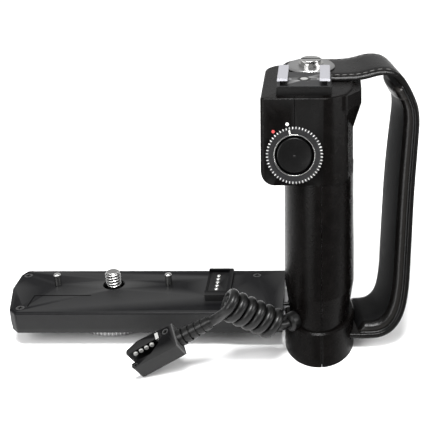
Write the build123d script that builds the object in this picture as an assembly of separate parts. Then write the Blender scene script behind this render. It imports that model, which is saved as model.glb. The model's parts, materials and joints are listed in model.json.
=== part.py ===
from build123d import *
import math
import os

# Camera side grip: a base plate that screws under a camera, a raked handle with a round
# release button, an accessory shoe, a hand strap and a short curly cord with a jaw plug.
# Millimetres. Origin: camera screw axis on the plate's top face. +X towards the handle,
# +Y away from the button side, +Z up.

# Driving dimensions: base plate
PLATE_LEFT, PLATE_RIGHT = -42.0, 72.0
PLATE_FRONT, PLATE_BACK = -23.0, 12.4
PLATE_THICK = 9.5
PAN_THICK = 2.0
COVER_WALL = 1.8
COVER_ROOF = 2.2
FLOOR_Z = -16.0
PIN_X, PIN_Y, PIN_D, PIN_ROOT_D, PIN_TALL = 23.3, -0.4, 2.8, 2.2, 5.4
SCREW_D, SCREW_TOP, SCREW_NECK_D = 6.35, 6.3, 5.6
FIT_FROM = 0.3
COVER_BOTTOM = PAN_THICK - PLATE_THICK
COVER_SCREWS = [(-38.2, 8.0), (-34.4, -18.8), (59.9, 7.8), (66.5, -18.8)]
PAN_SCREWS = [(-28, -5), (-14, -11), (30, -11), (64, -5)]
BAR = (-34.0, 74.0, -13.0, 5.4, COVER_BOTTOM, -5.6)
TONGUE = (74.0, 91.4, -13.0, -1.0, COVER_BOTTOM, -5.6)
CONTACT_X, CONTACT_PITCH, CONTACT_TRAVEL = 44.1, 2.8, 0.8
CONTACT_YS = [3.4 - CONTACT_PITCH * i for i in range(5)]
CONTACT_FLOOR, CONTACT_PIN_LOW, BOARD_THICK = 1.5, -3.2, 1.2
STEM = (41.2, 47.0, -9.9, 5.6)
WHEEL_D, WHEEL_TOP, WHEEL_BOTTOM = 36.0, -10.4, -14.4

# Driving dimensions: grip. Its front leans back by RAKE mm for each mm of height.
RAKE = 0.42
FRONT_AT_ZERO = -31.7
HANDLE_X = 86.8
HANDLE_A, HANDLE_B = 14.2, 20.4
HEAD_LEFT, HEAD_RIGHT = 64.0, 100.6
HEAD_BOTTOM, HEAD_TOP = 50.2, 81.5
HEAD_DEEP = 45.0
FLARE_Z, FLARE_TAPER = 76.0, 9.0
SEAM_GAP = 0.2
SKIRT_TOP = -3.8
SHELL_WALL = 2.2
HEAD_SEAM_X, HANDLE_SEAM_X = 77.5, 88.0
SPINE_X, SPINE_BACK_OF_FRONT, SPINE_SIZE = 87.0, 21.5, (14.0, 10.0)
SPINE_SCREWS = [(82.2, -10.4), (88.6, -10.4)]
SPINE_TOP = HEAD_TOP - SHELL_WALL - 0.1
SHELL_SCREW_ZS, SHELL_SCREW_LONG = (8.0, 40.0), 17.0

# Driving dimensions: release button group, on the raked front face
DIAL_X, DIAL_Z = 77.5, 61.0
DIAL_D, DIAL_TALL, DIAL_BEVEL, DIAL_TEETH = 22.2, 4.6, 1.2, 52
BEZEL_D, BUTTON_D = 16.4, 14.0
BUTTON_TRAVEL, GUIDE_TOP, SWITCH_TOP = 1.5, -4.6, -7.0
RING_MARK_ANGLE, BODY_DOT_ANGLE, LOCK_DOT_ANGLE = 101.6, 103.6, 132.1
RING_MARK_RADIUS, RING_MARK_LONG, RING_MARK_WIDE, MARK_DEEP = 9.0, 1.5, 0.5, 0.3
DOT_D = 1.3

# Driving dimensions: accessory shoe (ISO 518) and hand strap
SHOE_X, SHOE_FRONT, SHOE_LONG = 81.0, 6.4, 18.0
SHOE_OUTER, SHOE_INNER, SHOE_GAP = 20.8, 18.6, 12.6
SHOE_FLOOR, SHOE_SLOT, SHOE_LIP, SHEET = 85.2, 2.0, 1.0, 0.5
SHOE_BACK, SHOE_MIDDLE = SHOE_FRONT + SHOE_LONG, SHOE_FRONT + SHOE_LONG / 2
SHOE_SCREWS = [(SHOE_X - 6.5, SHOE_MIDDLE), (SHOE_X + 6.5, SHOE_MIDDLE)]
STRAP_X, STRAP_Y = 83.4, 35.8
STRAP_WIDE, STRAP_THICK, PAD_THICK = 25.0, 2.4, 4.6
STRAP_FRONT, STRAP_RAKE, STRAP_LOW = -19.8, 0.52, -9.2

# Driving dimensions: curly cord and plug. The plug hangs tilted, its lowest corner on the floor.
CORD_D, GLAND_D = 4.0, 7.6
COIL_D, GLAND_NECK, GLAND_END = 13.4, 4.6, 8.6
GLAND_START = Vector(80.5, -21.8, -2.2)
COIL_LEFT, COIL_RIGHT = Vector(49.5, -36.4, 13.1), Vector(71.6, -30.3, -2.3)
PLUG_LONG, PLUG_WIDE, PLUG_THICK = 20.0, 11.1, 7.3
PLUG_CORNER = Vector(15.5, -48.4, -9.8)
PLUG_ALONG = Vector(0.878, 0.15, 0.455).normalized()
PLUG_FACING = Vector(-0.363, -0.412, 0.836).normalized()
RELIEF_LONG, LEAD_LONG, PLUG_PLATE = 14.0, 7.0, 0.6
JAW_OUTLINE = [
    (0, 0),
    (PLUG_LONG - PLUG_PLATE, 0),
    (PLUG_LONG - PLUG_PLATE, PLUG_WIDE),
    (4.5, PLUG_WIDE + 0.6),
    (-0.8, PLUG_WIDE - 1.2),
    (-1.2, PLUG_WIDE - 3.2),
    (0.4, PLUG_WIDE - 4.6),
]
JAW_GAP = [(-3, 2.6), (8.6, 2.6), (12.6, 5.6), (14.2, 8.2), (-3, 7.6)]
JAW_FLOOR = 1.2
PLUG_SCREWS = [(16.4, 9.2, 2.8), (1.5, 1.35, 2.0)]
PLUG_CONTACT_XS = [2.2 + 2.4 * i for i in range(4)]
PLUG_TAB = (12.0, 13.4, 7.6, 10.6, -2.6, 0.1)

TAU = math.atan(RAKE)
LEAN = Vector(0, RAKE, 1)
LOW = (Align.CENTER, Align.CENTER, Align.MIN)
GLAND_AXIS = (COIL_RIGHT - GLAND_START).normalized()
STRAP_TWIST = Vector(-0.2, 1, 0)
STRAP_TOP = HEAD_TOP + 0.1
STRAP_SLOPE = math.atan(STRAP_RAKE)
STRAP_NORMAL = (0, -math.cos(STRAP_SLOPE), math.sin(STRAP_SLOPE))
STRAP_PLANE = Plane((0, STRAP_FRONT, 0), x_dir=(1, 0, 0), z_dir=STRAP_NORMAL)


def front_y(z):
    """Where the grip's raked front plane is at a height."""
    return FRONT_AT_ZERO + RAKE * z


PLUG = Plane(PLUG_CORNER, x_dir=PLUG_ALONG, z_dir=PLUG_FACING)
RELIEF_START = PLUG.from_local_coords(Vector(PLUG_LONG, PLUG_WIDE / 2, -PLUG_THICK / 2))
RELIEF_END = RELIEF_START + PLUG_ALONG * RELIEF_LONG


def save(node, *solids):
    """Write one sub-part as parts/NODE.step."""
    found = [s for shape in solids for s in shape.solids()]
    whole = found[0] if len(found) == 1 else Compound(children=found)
    export_step(whole, f"parts/{node}.step")


def block(x0, x1, y0, y1, z0, z1):
    """A box given by its lowest and highest corners."""
    return Pos((x0 + x1) / 2, (y0 + y1) / 2, (z0 + z1) / 2) * Box(x1 - x0, y1 - y0, z1 - z0)


def post(x, y, z0, z1, diameter):
    """An upright cylinder."""
    return Pos(x, y, (z0 + z1) / 2) * Cylinder(diameter / 2, z1 - z0)


def rod(start, end, diameter):
    """A straight round bar between two points."""
    along = end - start
    return Plane(start, z_dir=along) * Cylinder(diameter / 2, along.length, align=LOW)


# ---------------------------------------------------------------- base plate


def plate_outline(inset=0.0):
    """The plate's plan: square at the handle, a gently bowed, chamfered left end."""
    corners = [
        (PLATE_RIGHT, PLATE_FRONT),
        (PLATE_LEFT + 6.5, PLATE_FRONT),
        (PLATE_LEFT + 3.4, PLATE_FRONT + 3.4),
        (PLATE_LEFT, PLATE_BACK - 15),
        (PLATE_LEFT + 0.5, PLATE_BACK - 4),
        (PLATE_LEFT + 2.4, PLATE_BACK),
        (PLATE_RIGHT, PLATE_BACK),
    ]
    face = make_face(Polyline(*corners, close=True))
    rounded = [v for v in face.vertices() if v.X < PLATE_RIGHT - 1]
    face = fillet(rounded, 1.6)
    return offset(face, -inset, kind=Kind.INTERSECTION) if inset else face


def top_fill():
    """The cover's outer block, which trims the screw bosses beside its walls."""
    return extrude(plate_outline(), COVER_BOTTOM)


def loom_way(x0, x1):
    """The slot that the leads take from the plate into the handle."""
    return block(x0, x1, -12.6, -6.6, BAR[5], BAR[5] + 2.8)


def plate_cover():
    top = extrude(plate_outline(), -(PLATE_THICK - PAN_THICK))
    rim = [e for e in top.edges().filter_by(GeomType.LINE) if abs(e.center().Z) < 0.01]
    front_rim = [e for e in rim if abs(e.center().Y - PLATE_FRONT) < 0.1]
    top = fillet(front_rim, 1.0)
    hollow = extrude(plate_outline(COVER_WALL), -(PLATE_THICK - PAN_THICK - COVER_ROOF))
    top -= Pos(0, 0, -COVER_ROOF) * hollow
    for x, y in COVER_SCREWS:
        top += post(x, y, COVER_BOTTOM, -COVER_ROOF, 4.6) & top_fill()
        top -= post(x, y, -1.0, 0, 3.6)
        top -= post(x, y, COVER_BOTTOM, -1.0, 1.9)
    for side in (-1, 1):
        top += post(side * PIN_X, PIN_Y, -COVER_ROOF - 2.4, -COVER_ROOF, 5.6)
        top -= post(side * PIN_X, PIN_Y, -COVER_ROOF - 1.4, 0, PIN_ROOT_D)
    top -= post(0, 0, -COVER_ROOF, 0, 9.0)
    x0, x1, y0, y1 = STEM
    top -= block(x0 - 0.1, x1 + 0.1, y0 - 0.1, y1 + 0.1, -COVER_ROOF, 0)
    return top - block(*BAR) - loom_way(PLATE_RIGHT - 3, PLATE_RIGHT)


def badge_frame():
    """A plain raised line pair on the plate, left of the camera screw."""
    line = Polyline((-31.6, -18.1), (-30.9, -9.3), (-7.7, -9.3))
    return extrude(trace(line, 0.35), 0.12)


def plate_pan():
    pan = Pos(0, 0, -PLATE_THICK) * extrude(plate_outline(0.15), PAN_THICK)
    pan -= post(0, 0, -PLATE_THICK, COVER_BOTTOM, 10.4)
    for x, y in PAN_SCREWS:
        pan -= post(x, y, -PLATE_THICK, COVER_BOTTOM, 2.2)
        pan -= post(x, y, -PLATE_THICK, -PLATE_THICK + 1.0, 4.0)
    return pan


def chassis_bar():
    """The load-carrying strip inside the plate, which runs on under the handle."""
    bar = block(*BAR) + block(*TONGUE)
    bar -= post(0, 0, BAR[4], BAR[5], SCREW_NECK_D + 0.12)
    x0, x1, y0, y1 = STEM
    bar -= block(x0 - 1.5, x1 + 1.5, y0 - 0.6, y1 + 2, BAR[4], BAR[5])
    for x, y in PAN_SCREWS:
        bar -= post(x, y, BAR[4], BAR[5], 1.9)
    for x, y in SPINE_SCREWS:
        bar -= post(x, y, BAR[4], BAR[5], 3.0)
    return bar


def pan_screws():
    return [
        post(x, y, -PLATE_THICK + 0.1, -PLATE_THICK + 1.0, 3.8)
        + post(x, y, -PLATE_THICK + 1.0, BAR[5], 1.9)
        - post(x, y, -PLATE_THICK + 0.1, -PLATE_THICK + 0.6, 1.4)
        for x, y in PAN_SCREWS
    ]


def cross_head(x, y, z, diameter):
    """Two crossed recesses in a screw head."""
    wide = diameter * 0.62
    return block(x - wide / 2, x + wide / 2, y - 0.2, y + 0.2, z - 0.5, z) + block(
        x - 0.2, x + 0.2, y - wide / 2, y + wide / 2, z - 0.5, z
    )


def cover_screws():
    made = []
    for x, y in COVER_SCREWS:
        head = post(x, y, -1.0, -0.15, 3.4) - cross_head(x, y, -0.15, 3.4)
        made.append(head + post(x, y, COVER_BOTTOM, -1.0, 1.9))
    return made


def camera_screw():
    thread = post(0, 0, FIT_FROM, SCREW_TOP, SCREW_D)
    top = thread.edges().sort_by(Axis.Z)[-1]
    thread = fillet(top, 1.3)
    shank = post(0, 0, WHEEL_BOTTOM + 0.4, FIT_FROM, SCREW_NECK_D)
    groove = post(0, 0, -5.3, -4.5, SCREW_D) - post(0, 0, -5.3, -4.5, SCREW_NECK_D - 0.8)
    return thread + shank - groove


def retaining_clip():
    """An open snap ring that keeps the camera screw in the plate."""
    ring = post(0, 0, -5.2, -4.6, 9.6) - post(0, 0, -5.2, -4.6, SCREW_NECK_D - 0.8)
    return ring - block(0, 6, -1.4, 1.4, -5.2, -4.6)


def thumbwheel():
    wheel = post(0, 0, WHEEL_BOTTOM, WHEEL_TOP, WHEEL_D)
    wheel = fillet(wheel.edges(), 0.5)
    teeth = 72
    for i in range(teeth):
        notch = post(WHEEL_D / 2 + 0.25, 0, WHEEL_BOTTOM, WHEEL_TOP, 1.1)
        wheel -= Rot(0, 0, 360 / teeth * i) * notch
    wheel += post(0, 0, WHEEL_TOP, COVER_BOTTOM - 0.05, 10.0)
    wheel -= post(0, 0, WHEEL_BOTTOM + 0.4, COVER_BOTTOM, SCREW_NECK_D)
    return wheel - block(-9, 9, -0.8, 0.8, WHEEL_BOTTOM, WHEEL_BOTTOM + 0.4)


def locating_pins():
    made = []
    for side in (-1, 1):
        pin = post(side * PIN_X, PIN_Y, FIT_FROM, PIN_TALL, PIN_D)
        pin = fillet(pin.edges().sort_by(Axis.Z)[-1], 0.7)
        made.append(pin + post(side * PIN_X, PIN_Y, -COVER_ROOF - 1.4, FIT_FROM, PIN_ROOT_D))
    return made


def contact_block():
    """The raised contact carrier: a sunk floor between a back wall, a right wall and a ledge."""
    x0, x1, y0, y1 = 39.6, 50.2, -14.2, 8.4
    block_ = block(x0, x1, y0, y1, 0, 3.0)
    block_ = fillet(block_.edges().filter_by(Axis.Z), 0.6)
    block_ -= block(x0 + 0.9, x1 - 1.7, y0 + 3.5, y1 - 1.2, CONTACT_FLOOR, 3.0)
    block_ -= block(x0, x0 + 0.9, y0 + 3.5, y1 - 1.2, 2.0, 3.0)
    sx0, sx1, sy0, sy1 = STEM
    block_ += block(sx0, sx1, sy0, sy1, BAR[5] + 0.1, 0)
    for y in CONTACT_YS:
        block_ -= post(CONTACT_X, y, BAR[5] + 0.1, CONTACT_FLOOR, 1.7)
    return block_


def contact_pins():
    made = []
    for y in CONTACT_YS:
        pin = post(CONTACT_X, y, CONTACT_PIN_LOW, CONTACT_FLOOR + CONTACT_TRAVEL, 1.6)
        made.append(fillet(pin.edges().sort_by(Axis.Z)[-1], 0.3))
    return made


def contact_board():
    x0, x1, y0, y1 = STEM
    return block(x0 - 1, x1 + 1, y0 - 0.3, y1 + 1.4, COVER_BOTTOM, COVER_BOTTOM + BOARD_THICK)


def contact_springs():
    """One spring for each contact, as a plain barrel between the board and its pin."""
    low = COVER_BOTTOM + BOARD_THICK
    return [post(CONTACT_X, y, low, CONTACT_PIN_LOW, 1.2) for y in CONTACT_YS]


# ---------------------------------------------------------------- grip shells


def oval(z, a, b, shift=0.0):
    """One level section of the handle."""
    place = Plane((HANDLE_X, front_y(z) + HANDLE_B + shift, z))
    return place * Ellipse(a, b)


def head_plan(z, inset=0.0):
    """The head's plan: flat front, rounded back, and a wide curve into the right side."""
    f = front_y(z)
    corners = [
        (HEAD_LEFT, f),
        (HEAD_LEFT + 27.5, f),
        (HEAD_RIGHT - 2.6, f + 5.0),
        (HEAD_RIGHT, f + 13.0),
        (HEAD_RIGHT, f + HEAD_DEEP),
        (HEAD_LEFT, f + HEAD_DEEP),
    ]
    face = make_face(Polyline(*corners, close=True))
    by_corner = [
        (corners[0], 1.6),
        (corners[1], 9.0),
        (corners[2], 4.0),
        (corners[4], 10.0),
        (corners[5], 9.0),
    ]
    for (x, y), radius in by_corner:
        here = face.vertices().sort_by_distance(Vector(x, y, 0))[0]
        face = fillet(here, radius)
    if inset:
        face = offset(face, -inset, kind=Kind.INTERSECTION)
    return Pos(0, 0, z) * face


def flare_plan(z, inset=0.0):
    """The lip at the head's top right, which the web of the hand sits under."""
    f = front_y(z)
    corners = [
        (HEAD_RIGHT - 10, f + 2.0),
        (HEAD_RIGHT - 2.5, f + 4.0),
        (HEAD_RIGHT + 3.4, f + 12),
        (HEAD_RIGHT + 3.4, f + 30),
        (HEAD_RIGHT - 10, f + HEAD_DEEP - 2),
    ]
    face = make_face(Polyline(*corners, close=True))
    for x, y in corners[1:4]:
        here = face.vertices().sort_by_distance(Vector(x, y, 0))[0]
        face = fillet(here, 3.5)
    if inset:
        face = offset(face, -inset, kind=Kind.INTERSECTION)
    return Pos(0, 0, z) * face


def leaning(face, height):
    """A prism that leans back with the grip, from a level face up."""
    return extrude(face, height * LEAN.length, dir=LEAN)


def low_corner(x, z, radius):
    """What is cut off to round a lower left corner that runs front to back."""
    deep = Pos(x + radius, 0, z + radius) * Rot(90, 0, 0) * Cylinder(radius, 300)
    return block(x - 1, x + radius, -140, 140, z - 1, z + radius) - deep


def grip_outside():
    handle = loft([oval(SKIRT_TOP, HANDLE_A - 2.2, HANDLE_B - 1.6), oval(8, HANDLE_A, HANDLE_B)])
    handle += leaning(oval(8, HANDLE_A, HANDLE_B), HEAD_BOTTOM + 2 - 8)
    skirt = leaning(oval(FLOOR_Z, HANDLE_A - 0.1, HANDLE_B), SKIRT_TOP - FLOOR_Z)
    skirt = chamfer(skirt.edges().group_by(Axis.Z)[-1], 0.6)
    head = leaning(head_plan(HEAD_BOTTOM), HEAD_TOP - HEAD_BOTTOM)
    head = fillet(head.edges().group_by(Axis.Z)[-1], 0.9)
    head -= low_corner(HEAD_LEFT, HEAD_BOTTOM, 5.5)
    flare = leaning(flare_plan(FLARE_Z), HEAD_TOP - 0.5 - FLARE_Z)
    flare += loft([flare_plan(FLARE_Z - FLARE_TAPER, 3.3), flare_plan(FLARE_Z)])
    return handle + skirt + head + flare


def grip_inside():
    a, b = HANDLE_A - SHELL_WALL, HANDLE_B - SHELL_WALL
    inner = leaning(oval(FLOOR_Z, a - 0.1, b), SKIRT_TOP - SHELL_WALL - FLOOR_Z)
    inner += leaning(oval(SKIRT_TOP - SHELL_WALL - 1, a - 2.2, b - 1.6), SHELL_WALL + 2)
    inner += leaning(oval(SKIRT_TOP, a - 2.2, b - 1.6), 60 - SKIRT_TOP)
    low = HEAD_BOTTOM + SHELL_WALL + 0.4
    head = leaning(head_plan(low, SHELL_WALL), HEAD_TOP - SHELL_WALL - low)
    return inner + (head - low_corner(HEAD_LEFT + SHELL_WALL, low, 4.0))


def dial_plane(depth=0.0):
    """The button's plane on the raked front face, moved out along its axis by depth."""
    out = Vector(0, -math.cos(TAU), math.sin(TAU))
    place = Vector(DIAL_X, front_y(DIAL_Z), DIAL_Z) + out * depth
    return Plane(place, x_dir=(1, 0, 0), z_dir=out)


def disc(diameter, start, end):
    """A cylinder on the button's axis, between two heights above the front face."""
    return dial_plane(start) * Cylinder(diameter / 2, end - start, align=LOW)


def grip_shells():
    body = grip_outside() - grip_inside()
    body -= disc(BUTTON_D + 1.6, -12, 1)
    body -= block(PLATE_RIGHT - 2, TONGUE[1] + 0.2, BAR[2] - 0.2, BAR[3] + 0.2, BAR[4] - 0.2, BAR[5] + 0.2)
    body -= loom_way(PLATE_RIGHT - 2, PLATE_RIGHT + 10)
    body -= rod(GLAND_START - GLAND_AXIS, COIL_RIGHT, GLAND_D - 1.4)
    body -= rod(GLAND_START + GLAND_AXIS * (GLAND_NECK - 0.2), COIL_RIGHT, GLAND_D + 0.2)
    for angle in (BODY_DOT_ANGLE, LOCK_DOT_ANGLE):
        body -= index_dot(angle)
    body -= block(60, PLATE_RIGHT, PLATE_FRONT - 1, PLATE_BACK + 1, -PLATE_THICK, 0.0)
    body -= post(STRAP_X, STRAP_Y, HEAD_TOP - 4, HEAD_TOP, 5.0)
    for x, y in SHOE_SCREWS:
        body -= post(x, y, HEAD_TOP - 4, HEAD_TOP, 1.9)
    slot = strap_layer(STRAP_THICK, Side.LEFT, 0.15)
    body -= slot & block(90, 110, -100, 100, -20, 0)
    for start, end in shell_screw_lines():
        body -= rod(start, end, 2.2)
        body -= rod(start, start + (end - start).normalized() * 2.0, 4.2)
    far = 200
    split_z = HEAD_BOTTOM - 0.01
    head_half = block(0, HEAD_SEAM_X, -far, far, split_z, far)
    handle_half = block(0, HANDLE_SEAM_X, -far, far, -far, split_z)
    left = body & (Pos(-SEAM_GAP, 0, 0) * (head_half + handle_half))
    right = (body - (head_half + handle_half)).solids().sort_by(SortBy.VOLUME)[-1]
    return left, right


def shell_screw_lines():
    """Each shell screw's two ends, from the grip's back surface towards the spine."""
    x = HANDLE_X + 5.0
    ends = []
    for z in SHELL_SCREW_ZS:
        y = front_y(z) + 2 * HANDLE_B + 1.5
        ends.append((Vector(x, y, z), Vector(x, y - SHELL_SCREW_LONG, z)))
    return ends


def grip_spine():
    """The metal column in the handle, screwed to the chassis bar and carrying the strap screw."""
    z0, z1 = BAR[5], SPINE_TOP
    foot = Plane((SPINE_X, front_y(z0) + SPINE_BACK_OF_FRONT, z0)) * Rectangle(*SPINE_SIZE)
    column = leaning(foot, z1 - z0)
    column += block(STRAP_X - 6, STRAP_X + 6, 20, STRAP_Y + 6, z1 - 5, z1)
    column -= post(STRAP_X, STRAP_Y, z1 - 5, z1, 4.1)
    for x, y in SPINE_SCREWS:
        column -= post(x, y, z0, z0 + 8, 3.0)
    for start, end in shell_screw_lines():
        column -= rod(start, end, 2.0)
    return column


def spine_screws():
    return [
        post(x, y, BAR[4] - 1.2, BAR[4], 5.0) + post(x, y, BAR[4], BAR[5] + 7, 3.0)
        for x, y in SPINE_SCREWS
    ]


def shell_screws():
    made = []
    for start, end in shell_screw_lines():
        along = (end - start).normalized()
        head = rod(start + along * 0.8, start + along * 2.0, 3.8)
        made.append(head + rod(start + along * 2.0, end, 2.0))
    return made


def foot_cap():
    """The plate that closes the bottom of the handle and that the grip stands on."""
    face = oval(FLOOR_Z, HANDLE_A - SHELL_WALL - 0.2, HANDLE_B - SHELL_WALL - 0.1)
    return leaning(face, 1.6)


# ---------------------------------------------------------------- release button


def lock_ring():
    """The knurled ring round the release button, which turns to lock it."""
    ring = disc(DIAL_D, 0.25, DIAL_TALL)
    rim = ring.edges().sort_by_distance(dial_plane(2 * DIAL_D).origin)[0]
    ring = chamfer(rim, DIAL_BEVEL)
    ring -= disc(BEZEL_D, -1, DIAL_TALL + 1)
    for i in range(DIAL_TEETH):
        notch = Pos(DIAL_D / 2 + 0.12, 0, 0) * Cylinder(0.42, 2 * DIAL_TALL + 2)
        ring -= dial_plane() * (Rot(0, 0, 360 / DIAL_TEETH * i) * notch)
    return ring - ring_mark()


def ring_mark():
    """The white radial line let into the lock ring's face."""
    line = Pos(RING_MARK_RADIUS, 0, 0) * Box(RING_MARK_LONG, RING_MARK_WIDE, MARK_DEEP, align=LOW)
    return dial_plane(DIAL_TALL - MARK_DEEP) * (Rot(0, 0, RING_MARK_ANGLE) * line)


def index_dot(angle):
    """A painted dot let into the front face beside the lock ring."""
    peg = Pos(DIAL_D / 2 + 1.4, 0, 0) * Cylinder(DOT_D / 2, 0.7, align=LOW)
    return dial_plane(-0.6) * (Rot(0, 0, angle) * peg)


def button_bezel():
    """The bright collar that the lock ring turns on."""
    collar = disc(BEZEL_D - 0.1, 0, DIAL_TALL - 0.2) - disc(BEZEL_D - 1.1, 0.6, DIAL_TALL)
    collar += disc(BUTTON_D + 1.4, GUIDE_TOP, 0)
    return collar - disc(BUTTON_D + 0.1, GUIDE_TOP, 0.6)


def release_button():
    cap = disc(BUTTON_D, 0.2, DIAL_TALL - 0.8)
    rim = cap.edges().sort_by_distance(dial_plane(2 * DIAL_D).origin)[0]
    cap = fillet(rim, 0.7)
    dish = dial_plane(DIAL_TALL - 0.8 + 33.4) * Sphere(34.0)
    return cap - dish + disc(3.4, -5.0, 0.2)


def button_spring():
    """The button's return spring, as a plain sleeve round its stem."""
    return disc(6.2, GUIDE_TOP, 0.2) - disc(4.2, GUIDE_TOP, 0.2)


def button_guide():
    """The cup behind the button: its stem slides through, and the switch sits in its back."""
    cup = disc(BUTTON_D + 1.4, SWITCH_TOP, GUIDE_TOP) - disc(BUTTON_D - 1.4, SWITCH_TOP, GUIDE_TOP - 1.2)
    return cup - disc(3.6, GUIDE_TOP - 1.2, GUIDE_TOP)


def micro_switch():
    base = dial_plane(SWITCH_TOP - 6.0) * Box(12.0, 6.0, 6.0, align=LOW)
    return base + disc(2.2, SWITCH_TOP, SWITCH_TOP + 0.45)


# ---------------------------------------------------------------- accessory shoe


def shoe_block():
    x0, x1 = SHOE_X - 10.9, SHOE_X + 10.9
    back = STRAP_Y - STRAP_WIDE / 2 - 0.2
    base = block(x0, x1, SHOE_FRONT - 0.5, back, HEAD_TOP, SHOE_FLOOR - SHEET)
    base = fillet(base.edges().filter_by(Axis.Z), 0.8)
    for x, y in SHOE_SCREWS:
        base -= post(x, y, HEAD_TOP, SHOE_FLOOR - SHEET, 1.9)
    return base - post(SHOE_X, SHOE_MIDDLE, HEAD_TOP, SHOE_FLOOR - SHEET, 4.0)


def shoe_channel():
    """The folded metal channel whose two lips hold an accessory's foot."""
    h, k = SHOE_OUTER / 2, SHOE_GAP / 2
    top = SHOE_FLOOR + SHOE_SLOT + SHOE_LIP
    low = SHOE_FLOOR - SHEET
    u = block(SHOE_X - h, SHOE_X + h, SHOE_FRONT, SHOE_BACK, low, top)
    inner = SHOE_INNER / 2
    roof = SHOE_FLOOR + SHOE_SLOT
    u -= block(SHOE_X - inner, SHOE_X + inner, SHOE_FRONT - 1, SHOE_BACK + 1, SHOE_FLOOR, roof)
    u -= block(SHOE_X - k, SHOE_X + k, SHOE_FRONT - 1, SHOE_BACK + 1, SHOE_FLOOR, top + 1)
    outer_rim = [
        e
        for e in u.edges().filter_by(Axis.Y)
        if abs(abs(e.center().X - SHOE_X) - h) < 0.01 and e.center().Z > top - 0.01
    ]
    u = fillet(outer_rim, 0.5)
    u -= post(SHOE_X, SHOE_MIDDLE, low, SHOE_FLOOR, 5.4)
    for x, y in SHOE_SCREWS:
        u -= post(x, y, low, SHOE_FLOOR, 3.4)
    return u


def shoe_contact():
    """The insulated centre contact for an accessory."""
    insulator = post(SHOE_X, SHOE_MIDDLE, SHOE_FLOOR - SHEET, SHOE_FLOOR, 5.2)
    pin_hole = post(SHOE_X, SHOE_MIDDLE, SHOE_FLOOR - SHEET, SHOE_FLOOR, 3.0)
    pin = post(SHOE_X, SHOE_MIDDLE, SHOE_FLOOR - SHEET - 2, SHOE_FLOOR + 0.15, 3.0)
    return insulator - pin_hole, pin


def shoe_screws():
    made = []
    for x, y in SHOE_SCREWS:
        head = post(x, y, SHOE_FLOOR - SHEET, SHOE_FLOOR, 3.2)
        head -= cross_head(x, y, SHOE_FLOOR, 3.2)
        made.append(head + post(x, y, HEAD_TOP - 1.9, SHOE_FLOOR - SHEET, 1.9))
    return made


def shoe_springs():
    """Two bowed leaf springs in the slots under the lips."""
    made = []
    for side in (-1, 1):
        x = SHOE_X + side * 8.1
        leaf = block(x - 1.0, x + 1.0, SHOE_FRONT + 2, SHOE_BACK - 2, SHOE_FLOOR, SHOE_FLOOR + 0.25)
        made.append(leaf + post(x, SHOE_MIDDLE, SHOE_FLOOR + 0.25, SHOE_FLOOR + 0.5, 1.6))
    return made


# ---------------------------------------------------------------- hand strap


def on_rake(x, z):
    """A point of the strap's side view, on its raked plane."""
    return (x, z / math.cos(STRAP_SLOPE))


def strap_line():
    """The strap's inner side seen from the front: over the head, down and back in."""
    points = [
        on_rake(97.0, STRAP_TOP),
        on_rake(105.0, STRAP_TOP + 0.4),
        on_rake(116.5, STRAP_TOP + 2.9),
        on_rake(126.3, 71.5),
        on_rake(123.6, 42.0),
        on_rake(121.2, 4.5),
        on_rake(113.5, -8.6),
        on_rake(97.8, STRAP_LOW),
    ]
    return FilletPolyline(*points, radius=[20, 8, 14, 80, 14, 9])


def strap_layer(thick, side, grow=0.0):
    """A layer on one side of the strap's line, as wide as the strap."""
    outline = offset(strap_line(), thick, side=side, closed=True)
    face = make_face(outline.edges())
    if grow:
        face = offset(face, grow, kind=Kind.INTERSECTION)
    layer = extrude(STRAP_PLANE * face, STRAP_WIDE + 2 * grow, dir=STRAP_TWIST)
    return Pos(STRAP_TWIST * -grow) * layer


def strap():
    """The outer leather: a round tongue under the screw, and the band round the hand."""
    tongue = post(STRAP_X, STRAP_Y, STRAP_TOP, STRAP_TOP + STRAP_THICK, STRAP_WIDE)
    low, high = STRAP_Y - STRAP_WIDE / 2, STRAP_Y + STRAP_WIDE / 2
    tongue += block(STRAP_X, 97.0, low, high, STRAP_TOP, STRAP_TOP + STRAP_THICK)
    band = strap_layer(STRAP_THICK, Side.LEFT)
    return tongue + band - post(STRAP_X, STRAP_Y, STRAP_TOP, STRAP_TOP + STRAP_THICK, 5.0)


def strap_pad():
    """The soft pad inside the band, where the back of the hand rests."""
    pad = strap_layer(PAD_THICK, Side.RIGHT)
    far = 200
    pad &= block(102.5, 140, -far, far, -20, 78.5)
    return pad - block(100, 113.5, -far, far, 40, 90)


def strap_washer():
    z = STRAP_TOP + STRAP_THICK
    washer = post(STRAP_X, STRAP_Y, z, z + 0.9, 20.0)
    washer = chamfer(washer.edges().sort_by(Axis.Z)[-1], 0.6)
    return washer - post(STRAP_X, STRAP_Y, z, z + 0.9, 5.0)


def strap_screw():
    z = STRAP_TOP + STRAP_THICK + 0.9
    base = post(STRAP_X, STRAP_Y, z + 0.05, z + 1.0, 10.4)
    head = post(STRAP_X, STRAP_Y, z + 1.0, z + 2.6, 8.6)
    head = fillet(head.edges().sort_by(Axis.Z)[-1], 0.4)
    head -= block(STRAP_X - 6, STRAP_X + 6, STRAP_Y - 0.6, STRAP_Y + 0.6, z + 1.5, z + 3)
    return base + head + post(STRAP_X, STRAP_Y, SPINE_TOP - 5, z + 0.1, 4.0)


def strap_bar():
    """The bar inside the handle that holds the strap's lower end."""
    start = Vector(95.9, STRAP_FRONT + STRAP_RAKE * STRAP_LOW + 2, STRAP_LOW + 1.15)
    return rod(start, start + STRAP_TWIST * (STRAP_WIDE - 8), 2.2)


# ---------------------------------------------------------------- cord and plug


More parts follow.
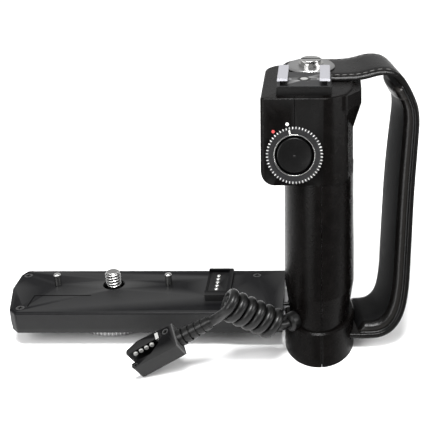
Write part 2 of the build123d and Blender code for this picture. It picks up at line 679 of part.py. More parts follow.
def cable_gland():
    """The moulded sleeve in the handle's side that the cord leaves through."""
    neck = rod(GLAND_START, GLAND_START + GLAND_AXIS * GLAND_NECK, GLAND_D - 1.6)
    flange = rod(
        GLAND_START + GLAND_AXIS * GLAND_NECK, GLAND_START + GLAND_AXIS * GLAND_END, GLAND_D
    )
    flange = chamfer(flange.edges().sort_by_distance(COIL_RIGHT)[0], 1.0)
    return neck + flange


def cord_coil():
    return rod(COIL_RIGHT, COIL_LEFT, COIL_D)


def cord_tail():
    start = GLAND_START + GLAND_AXIS * GLAND_END
    return rod(start, COIL_RIGHT + GLAND_AXIS * 2, CORD_D) - cord_coil()


def cord_lead():
    return rod(RELIEF_END, RELIEF_END + PLUG_ALONG * LEAD_LONG, CORD_D) - cord_coil()


def strain_relief():
    """The ribbed sleeve on the plug, thinner towards the cord."""
    ribs = 5
    step = RELIEF_LONG / ribs
    whole = rod(RELIEF_START, RELIEF_END, CORD_D + 0.6)
    for i in range(ribs):
        wide = 6.8 - 0.4 * i
        start = RELIEF_START + PLUG_ALONG * (step * i)
        whole += rod(start, start + PLUG_ALONG * (step - 0.8), wide)
    return whole


def plug_box(x0, x1, y0, y1, z0, z1):
    """A box in the plug's own axes: along, across and outwards from its open face."""
    return PLUG * block(x0, x1, y0, y1, z0, z1)


def plug_body():
    """The jaw plug: two arms joined by a web, with a floor behind the gap."""
    outline = make_face(Polyline(*JAW_OUTLINE, close=True))
    outline = fillet(outline.vertices().filter_by_position(Axis.X, -2, 2), 1.2)
    body = extrude(PLUG * outline, -PLUG_THICK)
    gap = make_face(Polyline(*JAW_GAP, close=True))
    body -= extrude(PLUG * gap, -(PLUG_THICK - JAW_FLOOR))
    for x, y, wide in PLUG_SCREWS:
        body -= PLUG * post(x, y, -3.2, 0, wide)
    for x in PLUG_CONTACT_XS:
        body -= plug_contact_at(x)
    return body - plug_box(*PLUG_TAB)


def plug_contact_at(x):
    """One round contact set in the inner side of the upper arm."""
    start = PLUG.from_local_coords(Vector(x, 7.2, -1.5))
    end = PLUG.from_local_coords(Vector(x, 9.4, -1.5))
    return rod(start, end, 1.7)


def plug_screws():
    made = []
    for x, y, wide in PLUG_SCREWS:
        head = PLUG * (post(x, y, -3.2, -0.3, wide - 0.1) - cross_head(x, y, -0.3, wide))
        made.append(head)
    return made


def wire_loom():
    """The bundle of leads from the contact board to the switch and the cord."""
    z = BAR[5] + 1.5
    path = FilletPolyline(
        (48.5, -9.0, z), (60.0, -10.5, z), (72.0, -9.6, z), (79.0, -9.6, z), radius=[8, 8]
    )
    return sweep(Plane(path @ 0, z_dir=path % 0) * Circle(0.9), path=path)


def main():
    os.makedirs("parts", exist_ok=True)
    left, right = grip_shells()
    insulator, contact = shoe_contact()
    parts = {
        "plate_cover": [plate_cover()],
        "badge_frame": [badge_frame()],
        "plate_pan": [plate_pan()],
        "chassis_bar": [chassis_bar()],
        "pan_screws": pan_screws(),
        "cover_screws": cover_screws(),
        "camera_screw": [camera_screw()],
        "retaining_clip": [retaining_clip()],
        "thumbwheel": [thumbwheel()],
        "locating_pins": locating_pins(),
        "contact_block": [contact_block()],
        "contact_pins": contact_pins(),
        "contact_board": [contact_board()],
        "contact_springs": contact_springs(),
        "grip_left_shell": [left],
        "grip_right_shell": [right],
        "grip_spine": [grip_spine()],
        "spine_screws": spine_screws(),
        "shell_screws": shell_screws(),
        "foot_cap": [foot_cap()],
        "lock_ring": [lock_ring()],
        "ring_mark": [ring_mark()],
        "button_bezel": [button_bezel()],
        "release_button": [release_button()],
        "button_spring": [button_spring()],
        "button_guide": [button_guide()],
        "micro_switch": [micro_switch()],
        "index_dot_white": [index_dot(BODY_DOT_ANGLE)],
        "index_dot_red": [index_dot(LOCK_DOT_ANGLE)],
        "shoe_block": [shoe_block()],
        "shoe_channel": [shoe_channel()],
        "shoe_insulator": [insulator],
        "shoe_contact": [contact],
        "shoe_screws": shoe_screws(),
        "shoe_springs": shoe_springs(),
        "strap": [strap()],
        "strap_pad": [strap_pad()],
        "strap_washer": [strap_washer()],
        "strap_screw": [strap_screw()],
        "strap_bar": [strap_bar()],
        "cable_gland": [cable_gland()],
        "cord_tail": [cord_tail()],
        "cord_coil": [cord_coil()],
        "cord_lead": [cord_lead()],
        "strain_relief": [strain_relief()],
        "plug_body": [plug_body()],
        "plug_plate": [plug_box(PLUG_LONG - PLUG_PLATE, PLUG_LONG, 0, PLUG_WIDE, -PLUG_THICK, 0)],
        "plug_contacts": [plug_contact_at(x) for x in PLUG_CONTACT_XS],
        "plug_tab": [plug_box(*PLUG_TAB)],
        "plug_screws": plug_screws(),
        "wire_loom": [wire_loom()],
    }
    for node, solids in parts.items():
        save(node, *solids)
    section = math.pi * CORD_D**2 / 4
    for name in ("cord_tail", "cord_lead"):
        piece = parts[name][0]
        print(f"{name}: volume {piece.volume:.1f} mm3, as long as {piece.volume / section:.1f} mm")


main()
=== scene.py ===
import json
import math

import bpy
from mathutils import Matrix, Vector


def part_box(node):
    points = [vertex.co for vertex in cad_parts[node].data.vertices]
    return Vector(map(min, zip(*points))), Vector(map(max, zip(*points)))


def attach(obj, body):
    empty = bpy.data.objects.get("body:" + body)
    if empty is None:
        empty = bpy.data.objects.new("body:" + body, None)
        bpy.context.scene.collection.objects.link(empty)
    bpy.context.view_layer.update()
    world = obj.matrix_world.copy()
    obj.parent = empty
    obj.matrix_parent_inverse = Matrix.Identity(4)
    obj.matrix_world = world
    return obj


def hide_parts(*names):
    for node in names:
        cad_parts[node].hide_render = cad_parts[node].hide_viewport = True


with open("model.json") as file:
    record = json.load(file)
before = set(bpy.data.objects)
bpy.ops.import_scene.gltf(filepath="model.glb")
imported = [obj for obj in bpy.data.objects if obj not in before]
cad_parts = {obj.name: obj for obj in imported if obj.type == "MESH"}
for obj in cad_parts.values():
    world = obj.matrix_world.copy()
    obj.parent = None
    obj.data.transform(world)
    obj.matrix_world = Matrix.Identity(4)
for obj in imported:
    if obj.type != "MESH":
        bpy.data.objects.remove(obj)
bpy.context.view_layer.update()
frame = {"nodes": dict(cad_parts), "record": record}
NODES = frame["nodes"]
MM = 0.001
FLOOR_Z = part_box("foot_cap")[0][2]


# ---------------------------------------------------------------- camera and light

def look_along(obj, forward):
    obj.rotation_mode = "QUATERNION"
    obj.rotation_quaternion = Vector(forward).to_track_quat("-Z", "Y")


CAMERA_LENS, CAMERA_SENSOR = 82.62, 36.0
CAMERA_SHIFT = (-0.2703, 0.0028)
CAMERA_PLACE = (0.0901, -0.3631, 0.2073)
CAMERA_YAW, CAMERA_PITCH = 0.261, 25.806


def make_camera():
    """The camera at the photograph's viewing angle, pitched down by CAMERA_PITCH degrees."""
    data = bpy.data.cameras.new("camera")
    data.sensor_width = CAMERA_SENSOR
    data.lens = CAMERA_LENS
    data.shift_x, data.shift_y = CAMERA_SHIFT
    data.clip_start = 0.01
    cam = bpy.data.objects.new("camera", data)
    bpy.context.collection.objects.link(cam)
    cam.location = CAMERA_PLACE
    yaw, pitch = math.radians(CAMERA_YAW), math.radians(CAMERA_PITCH)
    level = math.cos(pitch)
    look_along(cam, (math.sin(yaw) * level, math.cos(yaw) * level, -math.sin(pitch)))
    bpy.context.scene.camera = cam


def area_light(name, place, aim, size, power):
    data = bpy.data.lights.new(name, "AREA")
    data.shape = "DISK"
    data.size = size
    data.energy = power
    lamp = bpy.data.objects.new(name, data)
    lamp.location = place
    look_along(lamp, Vector(aim) - Vector(place))
    bpy.context.collection.objects.link(lamp)


FLOOR_REACH, FLOOR_GAP, SKY_STRENGTH = 2, 0.0002, 0.62


def make_studio():
    """A plain pale floor, an even white sky and three soft lamps."""
    corners = [(-FLOOR_REACH, -FLOOR_REACH, 0), (FLOOR_REACH, -FLOOR_REACH, 0),
               (FLOOR_REACH, FLOOR_REACH, 0), (-FLOOR_REACH, FLOOR_REACH, 0)]
    floor = mesh_object("floor", corners, [(0, 1, 2, 3)])
    floor.location.z = FLOOR_Z - FLOOR_GAP
    floor.data.materials.append(material("floor_pale", (0.93, 0.93, 0.93), 0.6, vary=0.01, scale=30))
    bpy.context.scene.view_settings.view_transform = "Standard"
    world = bpy.data.worlds.new("studio")
    bpy.context.scene.world = world
    world.use_nodes = True
    world.node_tree.nodes["Background"].inputs["Color"].default_value = (1, 1, 1, 1)
    world.node_tree.nodes["Background"].inputs["Strength"].default_value = SKY_STRENGTH
    middle = (0.05, 0.0, 0.03)
    area_light("top_soft", (0.05, -0.2, 0.72), middle, 0.3, 9.0)
    area_light("front_left_soft", (-0.45, -0.55, 0.45), middle, 0.5, 5.0)
    area_light("right_soft", (0.65, -0.15, 0.35), middle, 0.35, 2.5)


# ---------------------------------------------------------------- materials

COAT_ROUGH, ROUGH_SWING, RELIEF_DEPTH = 0.25, 0.08, 0.15
BROAD_SHARE = 0.12  # the broad mottling's scale as a share of the fine pattern's


def material(name, color, rough, metal=0.0, spec=0.5, vary=0.15, scale=900.0, bump=0.0, kind="noise",
             wear_and_glint=None, wear_and_glint_from=0.53, ramp=0.1, coat=0.0, stretch=(1, 1, 1), above=None):
    """One procedural finish: mottled colour, uneven roughness, fine relief and bright edges, which are
    worn edges on most finishes and a painted highlight on the screw thread's crests.

    kind is the fine relief's pattern, noise or cells. wear_and_glint is the edges' colour (worn edges; on
    the thread's crests a painted highlight), which comes in over ramp from the pointiness
    wear_and_glint_from. above is a height and the colour of what lies over it.
    """
    mat = bpy.data.materials.new(name)
    mat.use_nodes = True
    nodes, link = mat.node_tree.nodes, mat.node_tree.links.new
    shader = nodes["Principled BSDF"]
    shader.inputs["Metallic"].default_value = metal
    shader.inputs["Specular IOR Level"].default_value = spec
    shader.inputs["Coat Weight"].default_value = coat
    shader.inputs["Coat Roughness"].default_value = COAT_ROUGH
    where = nodes.new("ShaderNodeTexCoord")
    turn = nodes.new("ShaderNodeMapping")
    turn.inputs["Scale"].default_value = stretch
    link(where.outputs["Object"], turn.inputs["Vector"])
    broad = nodes.new("ShaderNodeTexNoise")
    broad.inputs["Scale"].default_value = scale * BROAD_SHARE
    broad.inputs["Detail"].default_value = 4
    link(turn.outputs["Vector"], broad.inputs["Vector"])
    fine = nodes.new("ShaderNodeTexVoronoi" if kind == "cells" else "ShaderNodeTexNoise")
    fine.inputs["Scale"].default_value = scale
    link(turn.outputs["Vector"], fine.inputs["Vector"])
    height = fine.outputs["Distance"] if kind == "cells" else fine.outputs["Fac"]
    tint = nodes.new("ShaderNodeValToRGB")
    tint.color_ramp.elements[0].position = 0.3
    tint.color_ramp.elements[1].position = 0.7
    tint.color_ramp.elements[0].color = (*[c * (1 - vary) for c in color], 1)
    tint.color_ramp.elements[1].color = (*[min(1, c * (1 + vary)) for c in color], 1)
    link(broad.outputs["Fac"], tint.inputs["Fac"])
    paint = tint.outputs["Color"]
    # Edge colour from pointiness: worn edges, and on the screw thread a painted highlight on the crests.
    if wear_and_glint:
        edge = nodes.new("ShaderNodeNewGeometry")
        mask = nodes.new("ShaderNodeValToRGB")
        mask.color_ramp.elements[0].position = wear_and_glint_from
        mask.color_ramp.elements[1].position = wear_and_glint_from + ramp
        link(edge.outputs["Pointiness"], mask.inputs["Fac"])
        mix = nodes.new("ShaderNodeMix")
        mix.data_type = "RGBA"
        link(mask.outputs["Color"], mix.inputs["Factor"])
        link(paint, mix.inputs["A"])
        mix.inputs["B"].default_value = (*wear_and_glint, 1)
        paint = mix.outputs["Result"]
    if above:
        split = nodes.new("ShaderNodeSeparateXYZ")
        over = nodes.new("ShaderNodeMath")
        over.operation = "GREATER_THAN"
        over.inputs[1].default_value = above[0]
        link(where.outputs["Object"], split.inputs["Vector"])
        link(split.outputs["Z"], over.inputs[0])
        bare = nodes.new("ShaderNodeMix")
        bare.data_type = "RGBA"
        link(over.outputs["Value"], bare.inputs["Factor"])
        link(paint, bare.inputs["A"])
        bare.inputs["B"].default_value = (*above[1], 1)
        paint = bare.outputs["Result"]
    link(paint, shader.inputs["Base Color"])
    gloss = nodes.new("ShaderNodeMapRange")
    gloss.inputs["To Min"].default_value = max(0.03, rough - ROUGH_SWING)
    gloss.inputs["To Max"].default_value = min(1.0, rough + ROUGH_SWING)
    link(broad.outputs["Fac"], gloss.inputs["Value"])
    link(gloss.outputs["Result"], shader.inputs["Roughness"])
    if bump:
        relief = nodes.new("ShaderNodeBump")
        relief.inputs["Strength"].default_value = bump
        relief.inputs["Distance"].default_value = RELIEF_DEPTH * MM
        link(height, relief.inputs["Height"])
        link(relief.outputs["Normal"], shader.inputs["Normal"])
    return mat


SHOE_LIP = 1.1  # how far down from the shoe's top its bare metal reaches


def paint_nodes():
    """Give every CAD node its procedural finish, and return the two that later pieces share."""
    plate = material("plate_paint", (0.0035, 0.0035, 0.004), 0.4, 0.0, 0.07, 0.25, 2600, 0.25,
                     wear_and_glint=(0.04, 0.04, 0.04), wear_and_glint_from=0.55)
    shell = material("shell_plastic", (0.0018, 0.0015, 0.0014), 0.26, 0.0, 0.06, 0.3, 2300, 0.3, "cells",
                     wear_and_glint=(0.012, 0.012, 0.012), wear_and_glint_from=0.56)
    chrome = material("bright_metal", (0.5, 0.5, 0.49), 0.14, 1.0, 0.5, 0.12, 700, 0.08)
    knurl = material("knurled_metal", (0.009, 0.009, 0.0095), 0.34, 0.0, 0.25, 0.25, 1500, 0.12)
    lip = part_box("shoe_channel")[1][2] - SHOE_LIP * MM
    shoe = material("shoe_paint", (0.008, 0.008, 0.009), 0.32, 0.6, 0.5, 0.2, 1800, 0.1,
                    wear_and_glint=(0.3, 0.3, 0.3), wear_and_glint_from=0.6, above=(lip, (0.4, 0.4, 0.43)))
    steel = material("brushed_steel", (0.52, 0.52, 0.53), 0.32, 1.0, 0.5, 0.12, 900, 0.15,
                     stretch=(1, 12, 1))
    dark = material("black_screw", (0.004, 0.004, 0.004), 0.35, 0.3, 0.2, 0.2, 1500, 0.1,
                    wear_and_glint=(0.06, 0.06, 0.06))
    plug = material("plug_plastic", (0.0022, 0.0022, 0.0024), 0.34, 0.0, 0.07, 0.25, 2600, 0.25,
                    wear_and_glint=(0.03, 0.03, 0.03), wear_and_glint_from=0.56)
    rubber = material("cord_rubber", (0.004, 0.004, 0.004), 0.32, 0.0, 0.22, 0.3, 1800, 0.2)
    silver = material("contact_silver", (0.85, 0.85, 0.83), 0.25, 0.9, 0.5, 0.06, 900, 0.05)
    line = material("engraved_line", (0.001, 0.001, 0.001), 0.7, 0.0, 0.05, 0.4, 1500, 0.1)
    wheel = material("wheel_metal", (0.16, 0.16, 0.16), 0.3, 1.0, 0.5, 0.2, 900, 0.1,
                     wear_and_glint=(0.6, 0.6, 0.6), wear_and_glint_from=0.54)
    pearl = material("plug_contact_pearl", (0.3, 0.3, 0.29), 0.4, 0.0, 0.5, 0.1, 2500, 0.1)
    white = material("white_mark", (0.85, 0.85, 0.82), 0.5, 0.0, 0.5, 0.05, 3000, 0.1)
    red = material("red_mark", (0.42, 0.04, 0.04), 0.5, 0.0, 0.5, 0.1, 3000, 0.1)
    green = material("board_green", (0.02, 0.12, 0.06), 0.4, 0.0, 0.5, 0.2, 900, 0.1)
    button = material("button_plastic", (0.002, 0.002, 0.002), 0.25, 0.0, 0.15, 0.2, 2000, 0.08)
    by_finish = {
        plate: ["plate_cover", "plate_pan"],
        shell: ["grip_left_shell", "grip_right_shell", "foot_cap", "shoe_block"],
        chrome: ["locating_pins", "strap_screw"],
        wheel: ["thumbwheel", "strap_washer"],
        knurl: ["lock_ring"],
        shoe: ["shoe_channel"],
        steel: ["chassis_bar", "pan_screws", "retaining_clip", "grip_spine", "spine_screws",
                "strap_bar", "shoe_screws", "button_spring", "contact_springs"],
        dark: ["cover_screws", "shell_screws", "plug_screws", "plug_plate", "shoe_springs"],
        plug: ["button_bezel", "plug_body", "contact_block", "micro_switch", "button_guide",
               "shoe_insulator"],
        rubber: ["strain_relief", "cable_gland", "wire_loom"],
        silver: ["contact_pins", "shoe_contact", "plug_tab"],
        line: ["badge_frame"],
        white: ["ring_mark", "index_dot_white"],
        pearl: ["plug_contacts"],
        red: ["index_dot_red"],
        green: ["contact_board"],
        button: ["release_button"],
    }
    for finish, names in by_finish.items():
        for name in names:
            for part_slot in NODES[name].material_slots:
                part_slot.material = finish
    return chrome, rubber


# ---------------------------------------------------------------- mesh helpers

def mesh_object(name, points, faces, smooth=False):
    mesh = bpy.data.meshes.new(name)
    mesh.from_pydata([tuple(p) for p in points], [], faces)
    mesh.validate()
    mesh.update()
    if smooth:
        mesh.polygons.foreach_set("use_smooth", [True] * len(mesh.polygons))
    obj = bpy.data.objects.new(name, mesh)
    bpy.context.collection.objects.link(obj)
    return obj


def skin(name, rings, caps=True):
    """A closed mesh through rings that have the same number of points."""
    n = len(rings[0])
    points = [p for ring in rings for p in ring]
    faces = []
    for i in range(len(rings) - 1):
        for j in range(n):
            k = (j + 1) % n
            faces.append((i * n + j, i * n + k, (i + 1) * n + k, (i + 1) * n + j))
    if caps:
        faces.append(tuple(reversed(range(n))))
        faces.append(tuple((len(rings) - 1) * n + j for j in range(n)))
    return mesh_object(name, points, faces, smooth=True)


def quadratic(points, per=10):
    """Points along a quadratic B-spline with clamped ends."""
    made = [Vector(points[0])]
    for i in range(1, len(points) - 1):
        before, here, after = (Vector(points[j]) for j in (i - 1, i, i + 1))
        start = before if i == 1 else (before + here) / 2
        end = after if i == len(points) - 2 else (here + after) / 2
        for k in range(1, per + 1):
            t = k / per
            made.append(start * (1 - t) ** 2 + here * 2 * t * (1 - t) + end * t * t)
    return made


# ---------------------------------------------------------------- cord

PLUG_ALONG = Vector((0.878, 0.15, 0.455)).normalized()
RELIEF_END = Vector((45.0, -36.8, 4.3))
COIL_LEFT = Vector((49.5, -36.4, 13.1))
COIL_RIGHT = Vector((71.6, -30.3, -2.3))
GLAND_START = Vector((80.5, -21.8, -2.2))
GLAND_AXIS = (COIL_RIGHT - GLAND_START).normalized()
GLAND_FACE = GLAND_START + GLAND_AXIS * 8.6
CORD_D, TURNS, PER_TURN, TURN_R = 4.0, 5.75, 14, 4.7
COIL_TAPER = 0.3  # the last share of a turn, which closes in on the coil's axis
SUNK = 1.5  # how far the cord's ends go into the strain relief and the gland


def coil_points():
    """The curly part's turns, from the lead's end to the coil's right end."""
    axis = (COIL_RIGHT - COIL_LEFT).normalized()
    rise = (PLUG_ALONG - axis * axis.dot(PLUG_ALONG)).normalized()
    front = axis.cross(rise)
    if front.y > 0:
        front = -front
    room = (COIL_RIGHT - COIL_LEFT).length - CORD_D
    count = round(TURNS * PER_TURN)
    points = []
    for i in range(count + 1):
        angle = 2 * math.pi * i / PER_TURN
        arm = front * math.cos(angle) + rise * math.sin(angle)
        radius = TURN_R * min(1.0, (count - i) / (COIL_TAPER * PER_TURN))
        points.append(COIL_LEFT + axis * (CORD_D / 2 + room * i / count) + arm * radius)
    return points


def make_cord(rubber):
    """The whole cord as one curve, from inside the plug's strain relief to inside the gland."""
    route = [RELIEF_END - PLUG_ALONG * SUNK, RELIEF_END + PLUG_ALONG * 2.5]
    route += coil_points()
    route += [COIL_RIGHT - GLAND_AXIS * SUNK, GLAND_FACE - GLAND_AXIS * SUNK]
    curve = bpy.data.curves.new("cord", "CURVE")
    curve.dimensions = "3D"
    line = curve.splines.new("NURBS")
    line.points.add(len(route) - 1)
    for point, place in zip(line.points, route):
        point.co = (*(place * MM), 1.0)
    line.order_u = 3
    line.use_endpoint_u = True
    line.resolution_u = 6
    curve.bevel_depth = CORD_D / 2 * MM
    curve.bevel_resolution = 5
    curve.use_fill_caps = True
    curve.materials.append(rubber)
    cord = bpy.data.objects.new("cord", curve)
    bpy.context.collection.objects.link(cord)
    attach(cord, "grip")
    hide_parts("cord_tail", "cord_coil", "cord_lead")


# ---------------------------------------------------------------- strap

STRAP_RAKE, STRAP_FRONT, STRAP_WIDE, STRAP_TOP = 0.52, -19.8, 25.0, 81.6
SLOPE = math.atan(STRAP_RAKE)
TONGUE_X, TONGUE_Y, TONGUE_R = 83.4, 35.8, 12.5
TONGUE_END_X = 97  # where the round tongue has grown to the strap's full width
STRAP_TWIST = -0.2  # how far the strap's width leans along X for each unit of Y
STRAP_LINE = [
    (71.0, STRAP_TOP), (84.0, STRAP_TOP), (97.0, STRAP_TOP), (105.0, STRAP_TOP + 0.4),
    (113.0, STRAP_TOP + 2.6), (119.3, STRAP_TOP + 1.4), (123.9, 75.8), (126.2, 69.5), (125.3, 59.0),
    (123.6, 42.0), (122.2, 20.0), (121.0, 3.5), (118.0, -4.8), (112.5, -9.0), (105.0, -9.4),
    (97.8, -9.2),
]


MID_HEIGHT = 40  # parts the strap's upper run from its lower one
PAD_FROM_X, PAD_TO_X, PAD_TOP = 113, 102.5, 80.0
PAD_DEPTH, PAD_BELLY = 4.3, 2.4
PIPING_R, KEEPER_DEPTH, KEEPER_LIP = 0.4, 4.95, 4.4
COLUMNS = 12  # points across the padding's crown


def strap_frames():
    """Along the strap: near edge, vector across to the far edge, and outward direction."""
    line = quadratic([(x, z / math.cos(SLOPE)) for x, z in STRAP_LINE], 12)
    frames = []
    for i, at in enumerate(line):
        along = (line[min(i + 1, len(line) - 1)] - line[max(i - 1, 0)]).normalized()
        z = at.y * math.cos(SLOPE)
        near = Vector((at.x, STRAP_FRONT + STRAP_RAKE * z, z))
        across = Vector((STRAP_TWIST, 1, 0)) * STRAP_WIDE
        if at.x < TONGUE_END_X and z > MID_HEIGHT:
            half = TONGUE_R
            if at.x < TONGUE_X:
                half = math.sqrt(max(0.6, TONGUE_R**2 - (at.x - TONGUE_X) ** 2))
            blend = min(1.0, max(0.0, (at.x - TONGUE_X) / (TONGUE_END_X - TONGUE_X)))
            start = Vector((at.x, TONGUE_Y - half, z))
            near = start.lerp(near, blend)
            across = Vector((0, 2 * half, 0)).lerp(across, blend)
        outward = Vector((-along.y, along.x * math.sin(SLOPE), along.x * math.cos(SLOPE)))
        frames.append((near, across, outward))
    return frames


def band_section(frames, section):
    """Rings of one section, given as shares of the width and heights over the strap's underside."""
    return [[(near + across * s + out * h) * MM for s, h in section] for near, across, out in frames]


def make_strap():
    """The leather band, its padded lining, piping, keeper and stitches."""
    leather = material("strap_leather", (0.002, 0.0018, 0.0017), 0.25, 0.0, 0.08, 0.3, 1500, 0.45, "cells",
                       wear_and_glint=(0.03, 0.028, 0.026), wear_and_glint_from=0.56, coat=0.1)
    lining = material("pad_leather", (0.0035, 0.0035, 0.0036), 0.5, 0.0, 0.05, 0.25, 1900, 0.5, "cells")
    piping = material("strap_piping", (0.002, 0.002, 0.002), 0.25, 0.0, 0.2, 0.25, 2500, 0.3)
    thread = material("strap_thread", (0.07, 0.068, 0.066), 0.5, 0.0, 0.4, 0.3, 4000, 0.5)
    frames = strap_frames()
    outer = [(0, 0.5), (0.004, 1.5), (0.02, 2.05), (0.05, 2.3), (0.078, 2.05), (0.105, 2.35)]
    outer += [(0.2 + 0.1 * i, 2.4) for i in range(7)]
    outer += [(1 - s, h) for s, h in reversed(outer[:6])]
    inner = [(0.996, 0.12), (0.97, 0.02), (0.5, 0.0), (0.03, 0.02), (0.004, 0.12)]
    band = skin("strap_band", band_section(frames, outer + inner))
    band.data.materials.append(leather)
    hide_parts("strap")
    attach(band, "grip")

    padded = [f for f in frames
              if f[0].x > (PAD_FROM_X if f[0].z > MID_HEIGHT else PAD_TO_X) and f[0].z < PAD_TOP]
    crown = [math.sin(math.pi * (i + 0.5) / COLUMNS) ** 0.22 for i in range(COLUMNS)]
    rings = []
    last = len(padded) - 1
    for i, (near, across, out) in enumerate(padded):
        end = math.sin(math.pi / 2 * min(1.0, (min(i, last - i) + 0.35) / 3.5))
        belly = PAD_BELLY * math.sin(math.pi * i / last) ** 2
        below = []
        for j, c in enumerate(crown):
            s = 0.025 + 0.95 * (j + 0.5) / COLUMNS
            below.append((s, -(PAD_DEPTH + belly * s) * end * c))
        loop = [(0.02, -0.08)] + below + [(0.98, -0.08)]
        rings.append([(near + across * s + out * h) * MM for s, h in loop])
    pad = skin("strap_padding", rings)
    pad.data.materials.append(lining)
    pad.data.materials.append(leather)
    across_count = len(rings[0])
    for index, face in enumerate(pad.data.polygons):
        if index % across_count in (0, 1, across_count - 3, across_count - 2, across_count - 1):
            face.material_index = 1
    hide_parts("strap_pad")
    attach(pad, "grip")

    for name, edge in (("near", 0.012), ("far", 0.988)):
        rings = []
        for near, across, out in padded:
            centre = near + across * edge - out * 0.5
            side = across.normalized()
            ring = [2 * math.pi * k / 8 for k in range(8)]
            rings.append([(centre + side * math.cos(a) * PIPING_R + out * math.sin(a) * PIPING_R) * MM
                          for a in ring])
        edging = skin(f"strap_piping_{name}", rings)
        edging.data.materials.append(piping)
        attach(edging, "grip")

    rings = []
    for i, (near, across, out) in enumerate(padded[1:9]):
        deep = KEEPER_DEPTH if 0 < i < 7 else KEEPER_LIP
        loop = [(0.01, -0.2)]
        loop += [(0.005 + 0.99 * (j + 0.5) / COLUMNS, -deep * c) for j, c in enumerate(crown)]
        rings.append([(near + across * s + out * h) * MM for s, h in loop + [(0.99, -0.2)]])
    keeper = skin("strap_keeper", rings)
    keeper.data.materials.append(leather)
    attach(keeper, "grip")
    make_stitches(frames, thread)


def make_stitches(frames, thread):
    """Two rows of stitches sunk in the grooves along the strap's edges."""
    points, faces = [], []
    step, half, high = 3.0, 1.05, 0.24
    for s in (0.078, 0.922):
        walked, due = 0.0, step
        for (near, across, out), (near2, across2, _) in zip(frames[8:-3], frames[9:-2]):
            a, b = near + across * s, near2 + across2 * s
            run = (b - a).length
            while run > 0 and due <= walked + run:
                centre = a.lerp(b, (due - walked) / run) + out * 2.12
                along, side = (b - a).normalized(), across.normalized()
                base = len(points)
                for t, w in ((-1, 0.0), (-0.7, 0.8), (0, 1.0), (0.7, 0.8), (1, 0.0)):
                    for u, v in ((-1, 0), (0, 1), (1, 0), (0, -1)):
                        grown = side * (u * high * (w + 0.1)) + out * (v * high * (w + 0.1))
                        points.append((centre + along * (t * half) + grown) * MM)
                for ring in range(4):
                    for j in range(4):
                        k = (j + 1) % 4
                        q = base + ring * 4
                        faces.append((q + j, q + k, q + 4 + k, q + 4 + j))
                due += step
            walked += run
    rows = mesh_object("strap_stitching", points, faces, smooth=True)
    rows.data.materials.append(thread)
    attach(rows, "grip")


# ---------------------------------------------------------------- release button's rim

DIAL_LEAN = math.atan(0.42)
DIAL_OUT = Vector((0, -math.cos(DIAL_LEAN), math.sin(DIAL_LEAN)))
DIAL_UP = Vector((0, math.sin(DIAL_LEAN), math.cos(DIAL_LEAN)))
RIM_R, RIM_HEIGHT, RIM_WIDE, RIM_TALL = 7.9, 4.44, 0.11, 0.1
RIM_STEPS, KNURL_TEETH = 96, 52
TIP_LINE = [(10.1, 4.5, 0.08), (10.35, 4.27, 0.16), (10.85, 3.77, 0.17), (11.05, 3.5, 0.08)]


def dial_point(angle, radius, height):
    """A point round the release button's axis, in metres, at a height above the front face."""
    joints = frame["record"]["behaviour"]["joints"]
    centre = Vector(next(j["pos_m"] for j in joints if j["name"] == "lock_ring_turn"))
    arm = Vector((1, 0, 0)) * math.cos(angle) + DIAL_UP * math.sin(angle)
    return centre + arm * radius * MM + DIAL_OUT * height * MM


def make_button_rim(chrome):
    """The thin bright line round the release button, on its collar."""
    rings = []
    for i in range(RIM_STEPS + 1):
        turn = 2 * math.pi * i / RIM_STEPS
        section = [2 * math.pi * k / 8 for k in range(8)]
        rings.append([dial_point(turn, RIM_R + RIM_WIDE * math.cos(t), RIM_HEIGHT + RIM_TALL * math.sin(t))
                      for t in section])
    rim = skin("button_rim", rings, caps=False)
    rim.data.materials.append(chrome)
    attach(rim, "grip")


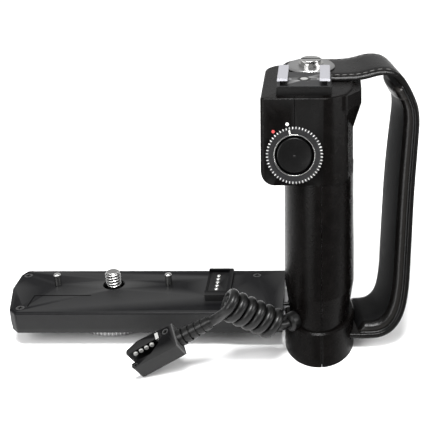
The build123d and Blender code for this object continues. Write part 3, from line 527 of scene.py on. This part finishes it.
def make_knurl_worn_glint_tips():
    """The crests of the lock ring's teeth, one near-white bar on each down its bevel: bare worn metal and
    a painted glint of light from above.
    """
    # Near-white bars: partly bare worn crests, partly a painted glint.
    finish = material("knurl_worn_glint_tips", (0.75, 0.75, 0.75), 0.4, 0.3, 0.5, 0.35, 2500, 0.2)
    points, faces = [], []
    for i in range(KNURL_TEETH):
        turn = 2 * math.pi * (i + 0.5) / KNURL_TEETH
        base = len(points)
        for radius, height, wide in TIP_LINE:
            half = wide / radius
            points += [dial_point(turn + half, radius, height - 0.1),
                       dial_point(turn, radius + 0.05, height + 0.05),
                       dial_point(turn - half, radius, height - 0.1)]
        for k in range(3):
            a = base + 3 * k
            faces += [(a, a + 1, a + 4, a + 3), (a + 1, a + 2, a + 5, a + 4), (a + 2, a, a + 3, a + 5)]
        faces += [(base + 2, base + 1, base), (base + 9, base + 10, base + 11)]
    tips = mesh_object("lock_ring_knurl_worn_glint_tips", points, faces)
    tips.data.materials.append(finish)
    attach(tips, "lock_ring")


# ---------------------------------------------------------------- camera screw thread

PITCH, CREST_R, ROOT_R, NECK_R, NECK_TOP, TOP_ROUND = 1.27, 3.17, 2.5, 2.79, 0.3, 1.3
AROUND, ROW = 64, 0.08


def make_thread():
    """The camera screw with its thread cut, which stands for the plain stud."""
    # The dark metal is painted shade between the crests, and the bright crest colour from the pointiness
    # mask is a painted highlight on the ridges.
    finish = material("screw_thread_painted_light", (0.03, 0.03, 0.03), 0.25, 1.0, 0.5, 0.2, 900, 0.1,
                      wear_and_glint=(0.75, 0.75, 0.74), wear_and_glint_from=0.49, ramp=0.05)
    low, high = (v[2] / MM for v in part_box("camera_screw"))
    rows = int((high - low) / ROW)
    rings = []
    for i in range(rows + 1):
        z = low + (high - low) * i / rows
        ring = []
        for j in range(AROUND):
            angle = 2 * math.pi * j / AROUND
            phase = (z / PITCH - j / AROUND) % 1.0
            ridge = 1 - min(1.0, abs(phase - 0.5) * 2.6)
            radius = ROOT_R + (CREST_R - ROOT_R) * ridge
            if z < NECK_TOP:
                radius = NECK_R
            top = high - z
            if top < TOP_ROUND:
                fall = math.sqrt(max(0, TOP_ROUND**2 - (TOP_ROUND - top) ** 2))
                radius = min(radius, CREST_R - TOP_ROUND + fall)
            ring.append(Vector((math.cos(angle) * radius, math.sin(angle) * radius, z)) * MM)
        rings.append(ring)
    stud = skin("camera_screw_thread", rings)
    stud.data.materials.append(finish)
    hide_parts("camera_screw")
    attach(stud, "camera_screw")


make_camera()
chrome_finish, rubber_finish = paint_nodes()
make_cord(rubber_finish)
make_studio()
make_strap()
make_button_rim(chrome_finish)
make_knurl_worn_glint_tips()
make_thread()
